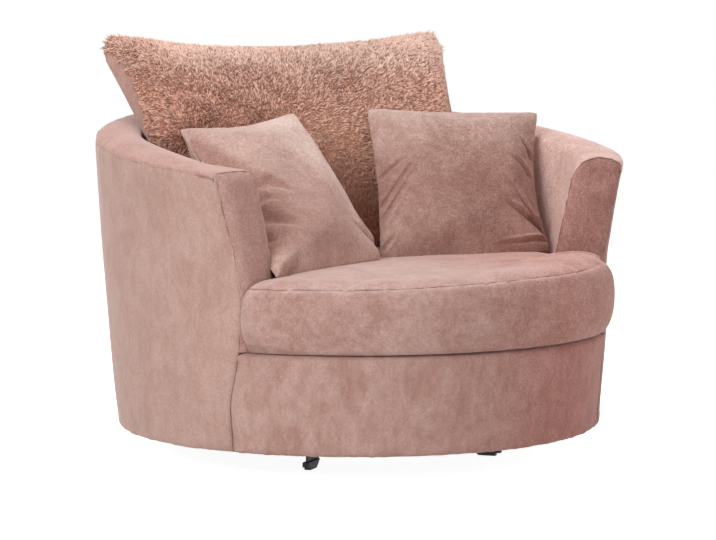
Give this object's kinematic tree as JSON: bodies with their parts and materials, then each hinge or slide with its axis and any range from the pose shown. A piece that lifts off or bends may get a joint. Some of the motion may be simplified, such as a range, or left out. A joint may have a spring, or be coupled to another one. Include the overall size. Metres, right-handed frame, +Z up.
{
  "type": "swivel armchair",
  "caption": "Round tub armchair in blush plush that turns on a low steel swivel base, with a loose seat cushion, a shaggy back cushion and scatter cushions.",
  "frame": {"origin": "on the floor under the swivel axis, which is the middle of the chair's footprint", "axes": "+Z up along the swivel axis, -Y toward the sitter's front, +X to the right of someone facing the chair"},
  "size_m": [1.22, 1.2068, 0.964],
  "materials": {
    "black_steel": "black powder coat",
    "zinc_steel": "zinc-plated pressed steel",
    "black_plastic": "moulded, lightly textured",
    "plywood": "raw birch plywood",
    "webbing": "woven elastic webbing",
    "deck_cloth": "non-woven lining cloth",
    "plush": "short-pile blush plush",
    "fur": "shaggy blush fur"
  },
  "bodies": {
    "base": {"cross_bar_a": "black_steel", "cross_bar_b": "black_steel", "floor_glides": "black_plastic", "lower_plate": "zinc_steel", "pivot_stud": "zinc_steel", "pivot_washer": "zinc_steel", "pivot_nut": "zinc_steel"},
    "bearing": {"ball_cage": "black_plastic", "bearing_balls": "zinc_steel"},
    "tub": {"upper_plate": "zinc_steel", "plate_screws": "zinc_steel", "base_board": "plywood", "wall_ribs": "plywood", "front_ribs": "plywood", "arm_posts": "plywood", "top_rail": "plywood", "seat_ring": "plywood", "webbing_long": "webbing", "webbing_cross": "webbing", "seat_deck": "deck_cloth", "plinth_board": "plywood", "outside_cover": "plush", "plinth_cover": "plush", "inside_pad": "plush", "rim_pad": "plush", "arm_front_left": "plush", "arm_front_right": "plush", "dust_cover": "deck_cloth"},
    "seat_cushion": {"seat_cushion": "plush"},
    "back_cushion": {"back_cushion": "fur"},
    "scatter_cushion_left": {"scatter_cushion_left": "plush"},
    "scatter_cushion_right": {"scatter_cushion_right": "plush"}
  },
  "joints": [
    {"name": "swivel", "type": "hinge", "parent": "base", "child": "tub", "pos_m": [0, 0, 0.064], "axis": [0, 0, 1], "continuous": true},
    {"name": "cage_turn", "type": "hinge", "parent": "base", "child": "bearing", "pos_m": [0, 0, 0.064], "axis": [0, 0, 1], "continuous": true},
    {"name": "seat_lift", "type": "slide", "parent": "tub", "child": "seat_cushion", "axis": [0, 0, 1], "range_m": [0, 0.3]},
    {"name": "back_lift", "type": "slide", "parent": "seat_cushion", "child": "back_cushion", "axis": [0, 0, 1], "range_m": [0, 0.45]},
    {"name": "scatter_left_lift", "type": "slide", "parent": "back_cushion", "child": "scatter_cushion_left", "axis": [0, 0, 1], "range_m": [0, 0.4]},
    {"name": "scatter_right_lift", "type": "slide", "parent": "back_cushion", "child": "scatter_cushion_right", "axis": [0, 0, 1], "range_m": [0, 0.4]}
  ],
  "couplings": [
    {"joint": "cage_turn", "follows": "swivel", "ratio": 0.5}
  ]
}
